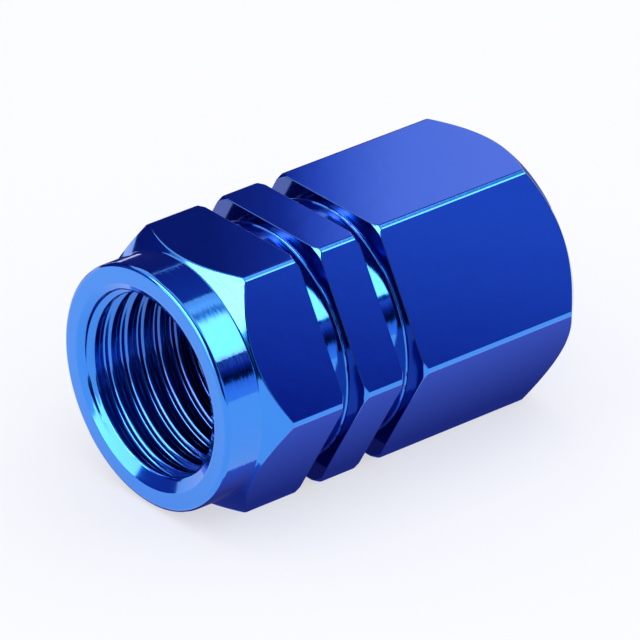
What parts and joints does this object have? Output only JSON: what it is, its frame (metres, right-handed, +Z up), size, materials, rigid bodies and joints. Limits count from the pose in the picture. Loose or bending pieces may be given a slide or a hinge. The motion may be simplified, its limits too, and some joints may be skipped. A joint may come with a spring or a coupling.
{
  "type": "tyre valve cap",
  "caption": "Hexagonal metal tyre valve cap with a round collar, turned grooves and a blind bore for the valve thread, closed by a rubber washer.",
  "frame": {"origin": "middle of the footprint that the cap lies on, under half its length", "axes": "+Y along the bore from the mouth to the closed end, +Z up from the flat that the cap lies on"},
  "size_m": [0.0114, 0.017, 0.01],
  "materials": {
    "anodised_aluminium": "polished and dyed blue by anodising",
    "seal_rubber": "matte black"
  },
  "bodies": {
    "root": {"cap_shell": "anodised_aluminium", "sealing_washer": "seal_rubber"}
  },
  "joints": []
}
